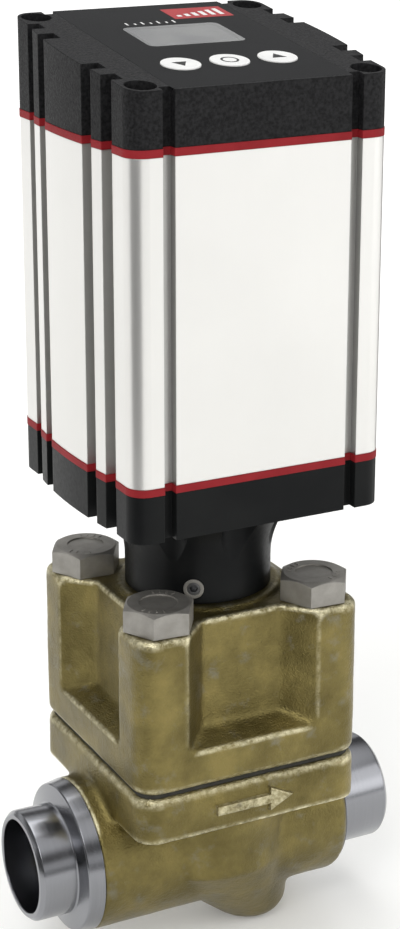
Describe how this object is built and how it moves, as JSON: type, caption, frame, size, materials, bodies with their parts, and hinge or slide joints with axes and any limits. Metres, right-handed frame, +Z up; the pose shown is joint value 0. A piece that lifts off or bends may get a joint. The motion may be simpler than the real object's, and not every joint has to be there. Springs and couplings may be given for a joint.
{
  "type": "motor-operated valve",
  "caption": "Flow control valve for a refrigeration pipe: a motor in a square housing lifts a cone off its seat through a sealed magnetic drive.",
  "frame": {"origin": "centre of the inlet's weld face, on the pipe centreline", "axes": "+X along the flow from inlet to outlet, +Z up the stem, -Y the front with the flow arrow and keypad"},
  "size_m": [0.12, 0.0826, 0.283],
  "materials": {
    "plated_casting": "cast steel, yellow chromate plated",
    "stainless": "satin stainless",
    "turned_steel": "turned, bright",
    "bearing_steel": "ground and polished",
    "anodised_aluminium": "natural anodised",
    "black_metal": "black, satin",
    "black_plastic": "moulded, grained",
    "black_rubber": "matt",
    "red_rubber": "matt red",
    "fibre_gasket": "dark fibre sheet",
    "keypad_film": "printed film, satin",
    "clear_window": "smoked clear plastic",
    "white_plastic": "moulded, white",
    "grey_display": "unlit liquid crystal",
    "circuit_board": "green solder mask",
    "copper": "enamelled copper wire",
    "laminated_steel": "stacked laminations",
    "magnet": "nickel plated magnet",
    "bronze": "machined bronze",
    "seal_plastic": "white seal plastic"
  },
  "bodies": {
    "housing": {"valve_body": "plated_casting", "body_gasket": "fibre_gasket", "bonnet": "plated_casting", "bonnet_bolts": "stainless", "actuator_base": "black_metal", "set_screws": "stainless", "set_screw_inserts": "stainless", "lower_gasket": "red_rubber", "motor_housing": "anodised_aluminium", "upper_gasket": "red_rubber", "top_cap": "black_plastic", "keypad_foil": "keypad_film", "display_window": "clear_window", "cable_bushings": "black_rubber", "seat_ring": "turned_steel", "flow_cage": "turned_steel", "cage_o_rings": "black_rubber", "guide_pin": "turned_steel", "spindle_bearing_outer_ring": "bearing_steel", "bearing_circlip": "bearing_steel", "magnet_can": "stainless", "can_o_ring": "black_rubber", "motor_front_bell": "anodised_aluminium", "motor_rear_bell": "anodised_aluminium", "motor_stator": "laminated_steel", "motor_coils": "copper", "motor_bearing_outer_ring": "bearing_steel", "motor_screws": "stainless", "motor_tie_screws": "stainless", "display_board": "circuit_board", "lcd_module": "grey_display", "tact_switches": "black_plastic", "board_screws": "stainless", "control_board": "circuit_board", "capacitors": "anodised_aluminium", "board_connector": "white_plastic", "cap_screws": "stainless"},
    "motor_drive": {"motor_shaft": "turned_steel", "motor_rotor": "laminated_steel", "motor_bearing_inner_ring": "bearing_steel", "motor_bearing_balls": "bearing_steel", "magnet_cup": "turned_steel", "outer_magnets": "magnet"},
    "spindle_drive": {"spindle": "turned_steel", "spindle_circlip": "bearing_steel", "spindle_bearing_inner_ring": "bearing_steel", "magnet_carrier": "turned_steel", "inner_magnets": "magnet", "ball_cage": "bronze", "spindle_bearing_balls": "bearing_steel"},
    "cone": {"valve_cone": "turned_steel", "cone_face_seal": "seal_plastic", "piston_ring": "seal_plastic", "spindle_nut": "bronze"},
    "button_down": {"button_down": "white_plastic"},
    "button_enter": {"button_enter": "white_plastic"},
    "button_up": {"button_up": "white_plastic"}
  },
  "joints": [
    {"name": "motor_turn", "type": "hinge", "parent": "housing", "child": "motor_drive", "pos_m": [0.06, 0, 0.15], "axis": [0, 0, 1], "range_deg": [0, 1080]},
    {"name": "spindle_turn", "type": "hinge", "parent": "housing", "child": "spindle_drive", "pos_m": [0.06, 0, 0.06], "axis": [0, 0, 1], "range_deg": [0, 1080]},
    {"name": "cone_lift", "type": "slide", "parent": "housing", "child": "cone", "axis": [0, 0, 1], "range_m": [0, 0.009]},
    {"name": "press_down", "type": "slide", "parent": "housing", "child": "button_down", "axis": [0, 0.1409, -0.99], "range_m": [0, 0.0004], "stiffness_N_per_m": 400},
    {"name": "press_enter", "type": "slide", "parent": "housing", "child": "button_enter", "axis": [0, 0.1409, -0.99], "range_m": [0, 0.0004], "stiffness_N_per_m": 400},
    {"name": "press_up", "type": "slide", "parent": "housing", "child": "button_up", "axis": [0, 0.1409, -0.99], "range_m": [0, 0.0004], "stiffness_N_per_m": 400}
  ],
  "couplings": [
    {"joint": "spindle_turn", "follows": "motor_turn", "ratio": 1},
    {"joint": "cone_lift", "follows": "motor_turn", "m_per_rad": 0.00047746}
  ]
}
